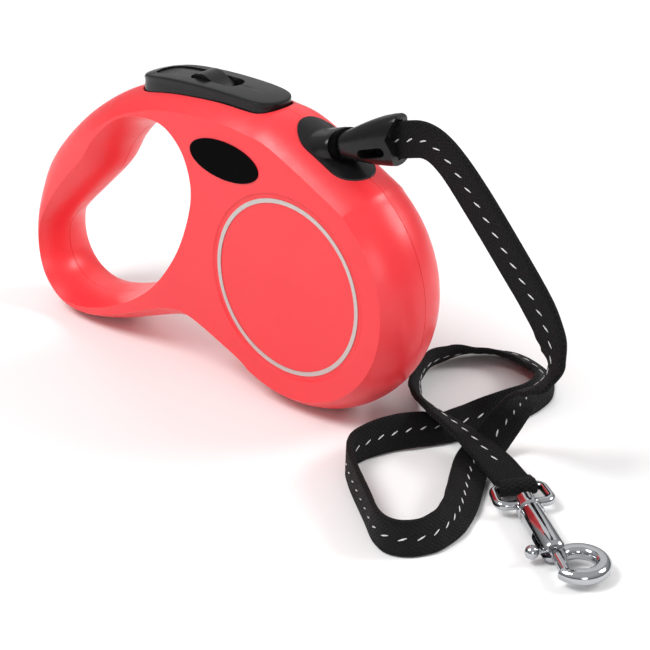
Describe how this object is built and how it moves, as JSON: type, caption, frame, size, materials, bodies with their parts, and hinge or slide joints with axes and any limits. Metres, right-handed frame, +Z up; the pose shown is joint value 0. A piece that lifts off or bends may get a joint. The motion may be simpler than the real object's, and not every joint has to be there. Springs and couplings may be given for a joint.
{
  "type": "retractable dog leash",
  "caption": "Retractable tape leash: two-shell housing with a loop handle, sprung tape spool, brake button with lock, outlet, webbing lead and swivel bolt snap.",
  "frame": {"origin": "middle of the hand grip, on the parting plane of the two shells", "axes": "+X forward from the grip to the outlet, +Z up, -Y the near side; the parting plane is y = 0"},
  "size_m": [0.2731, 0.1384, 0.1124],
  "materials": {
    "shell_plastic": "satin coral red moulded plastic",
    "black_plastic": "fine satin black moulded plastic",
    "spool_plastic": "natural acetal",
    "steel": "bright zinc-plated steel",
    "silver_print": "satin silver",
    "chrome": "polished chrome plate",
    "webbing": "woven black polyester with reflective stitches"
  },
  "bodies": {
    "housing": {"near_shell": "shell_plastic", "far_shell": "shell_plastic", "shell_screws": "steel", "axle": "steel", "outlet_insert": "black_plastic", "guide_pin": "steel", "tape_feed": "webbing", "near_badge": "black_plastic", "far_badge": "black_plastic", "near_ring": "silver_print", "far_ring": "silver_print", "thrust_washer": "spool_plastic", "button_spring": "steel"},
    "spool": {"spool": "spool_plastic", "ratchet_flange": "spool_plastic", "spring_cover": "spool_plastic", "power_spring": "steel", "wound_tape": "webbing", "tape_anchor": "steel"},
    "button": {"brake_button": "black_plastic", "brake_pawl": "steel"},
    "lock": {"lock_slider": "black_plastic"},
    "leash": {"soft_stop": "black_plastic", "connector_body": "black_plastic", "connector_pin": "steel", "tape_run": "webbing", "webbing_strap": "webbing", "swivel_eye": "chrome"},
    "hook": {"hook_body": "chrome", "bolt_spring": "steel"},
    "bolt": {"hook_bolt": "chrome", "thumb_knob": "chrome"}
  },
  "joints": [
    {"name": "leash_pull", "type": "slide", "parent": "housing", "child": "leash", "axis": [0.9511, 0, 0.309], "range_m": [0, 0.034], "stiffness_N_per_m": 8, "springref_m": -0.05},
    {"name": "spool_spin", "type": "hinge", "parent": "housing", "child": "spool", "pos_m": [0.104, 0, -0.018], "axis": [0, 1, 0], "range_deg": [0, 61]},
    {"name": "button_press", "type": "slide", "parent": "housing", "child": "button", "axis": [0, 0, -1], "range_m": [0, 0.0026], "stiffness_N_per_m": 900, "springref_m": -0.0012, "deforming": ["button_spring"]},
    {"name": "lock_slide", "type": "slide", "parent": "button", "child": "lock", "axis": [1, 0, 0], "range_m": [0, 0.004]},
    {"name": "hook_swivel", "type": "hinge", "parent": "leash", "child": "hook", "pos_m": [0.2049, -0.0159, -0.06065], "axis": [0.7986, -0.6018, 0], "continuous": true},
    {"name": "bolt_slide", "type": "slide", "parent": "hook", "child": "bolt", "axis": [-0.7986, 0.6018, 0], "range_m": [0, 0.0065], "stiffness_N_per_m": 300, "springref_m": -0.002, "deforming": ["bolt_spring"]}
  ],
  "couplings": [
    {"joint": "spool_spin", "follows": "leash_pull", "rad_per_m": 30.769}
  ]
}
